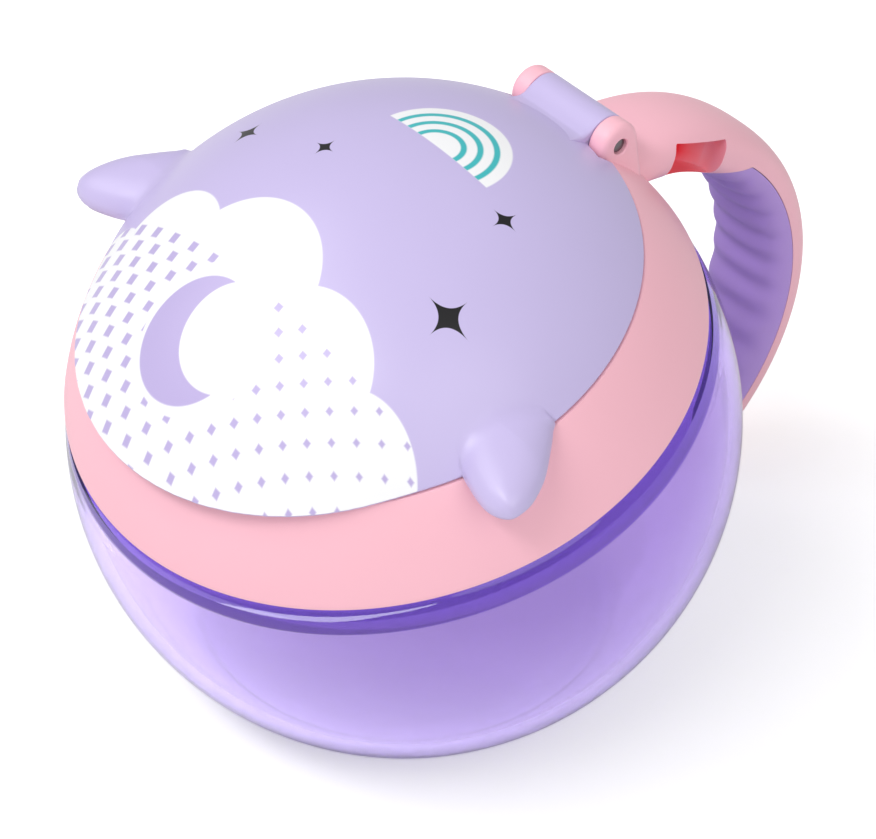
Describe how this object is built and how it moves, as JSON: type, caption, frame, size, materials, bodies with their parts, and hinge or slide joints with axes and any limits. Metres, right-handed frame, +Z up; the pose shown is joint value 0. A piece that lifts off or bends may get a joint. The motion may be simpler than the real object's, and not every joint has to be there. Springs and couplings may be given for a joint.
{
  "type": "snack cup",
  "caption": "Ball-shaped toddler snack cup with a hinged domed lid with finger tabs, a screw collar with a side handle, and soft hand flaps under the lid.",
  "frame": {"origin": "centre of the flat base, on the table", "axes": "+Z up; +Y towards the handle and the lid's hinge; -Y towards the finger lip, where the mouth leans forward"},
  "size_m": [0.108, 0.1384, 0.0966],
  "materials": {
    "bowl_plastic": "translucent purple",
    "collar_plastic": "pink, satin gloss",
    "lid_plastic": "lilac, satin gloss",
    "flap_soft": "soft translucent silicone",
    "grip_soft": "soft matte purple",
    "pin_steel": "plain steel"
  },
  "bodies": {
    "bowl": {"bowl": "bowl_plastic"},
    "flap_ring": {"flap_ring": "flap_soft"},
    "flap_1": {"flap_1": "flap_soft"},
    "flap_2": {"flap_2": "flap_soft"},
    "flap_3": {"flap_3": "flap_soft"},
    "flap_4": {"flap_4": "flap_soft"},
    "flap_5": {"flap_5": "flap_soft"},
    "flap_6": {"flap_6": "flap_soft"},
    "collar": {"collar": "collar_plastic", "handle_frame": "collar_plastic", "handle_grip": "grip_soft", "hinge_pin": "pin_steel"},
    "lid": {"lid": "lid_plastic"}
  },
  "joints": [
    {"name": "collar_lift", "type": "slide", "parent": "bowl", "child": "flap_ring", "axis": [0, -0.2368, 0.9715], "range_m": [0, 0.006]},
    {"name": "collar_turn", "type": "hinge", "parent": "flap_ring", "child": "collar", "pos_m": [0, 0, 0.042], "axis": [0, -0.2368, 0.9715], "range_deg": [0, 90]},
    {"name": "lid_hinge", "type": "hinge", "parent": "collar", "child": "lid", "pos_m": [0, 0.03537, 0.08531], "axis": [-1, 0, 0], "range_deg": [0, 120]},
    {"name": "flap_1_bend", "type": "hinge", "parent": "flap_ring", "child": "flap_1", "pos_m": [0.02799, -0.00611, 0.06707], "axis": [0, -0.9715, -0.2368], "range_deg": [0, 70], "stiffness_Nm_per_rad": 0.004, "springref_deg": -2.86},
    {"name": "flap_2_bend", "type": "hinge", "parent": "flap_ring", "child": "flap_2", "pos_m": [0.014, 0.01744, 0.07281], "axis": [0.866, -0.4858, -0.1184], "range_deg": [0, 70], "stiffness_Nm_per_rad": 0.004, "springref_deg": -2.86},
    {"name": "flap_3_bend", "type": "hinge", "parent": "flap_ring", "child": "flap_3", "pos_m": [-0.014, 0.01744, 0.07281], "axis": [0.866, 0.4858, 0.1184], "range_deg": [0, 70], "stiffness_Nm_per_rad": 0.004, "springref_deg": -2.86},
    {"name": "flap_4_bend", "type": "hinge", "parent": "flap_ring", "child": "flap_4", "pos_m": [-0.02799, -0.00611, 0.06707], "axis": [0, 0.9715, 0.2368], "range_deg": [0, 70], "stiffness_Nm_per_rad": 0.004, "springref_deg": -2.86},
    {"name": "flap_5_bend", "type": "hinge", "parent": "flap_ring", "child": "flap_5", "pos_m": [-0.014, -0.02966, 0.06133], "axis": [-0.866, 0.4858, 0.1184], "range_deg": [0, 70], "stiffness_Nm_per_rad": 0.004, "springref_deg": -2.86},
    {"name": "flap_6_bend", "type": "hinge", "parent": "flap_ring", "child": "flap_6", "pos_m": [0.014, -0.02966, 0.06133], "axis": [-0.866, -0.4858, -0.1184], "range_deg": [0, 70], "stiffness_Nm_per_rad": 0.004, "springref_deg": -2.86}
  ],
  "couplings": [
    {"joint": "collar_lift", "follows": "collar_turn", "m_per_rad": 0.0038197}
  ]
}
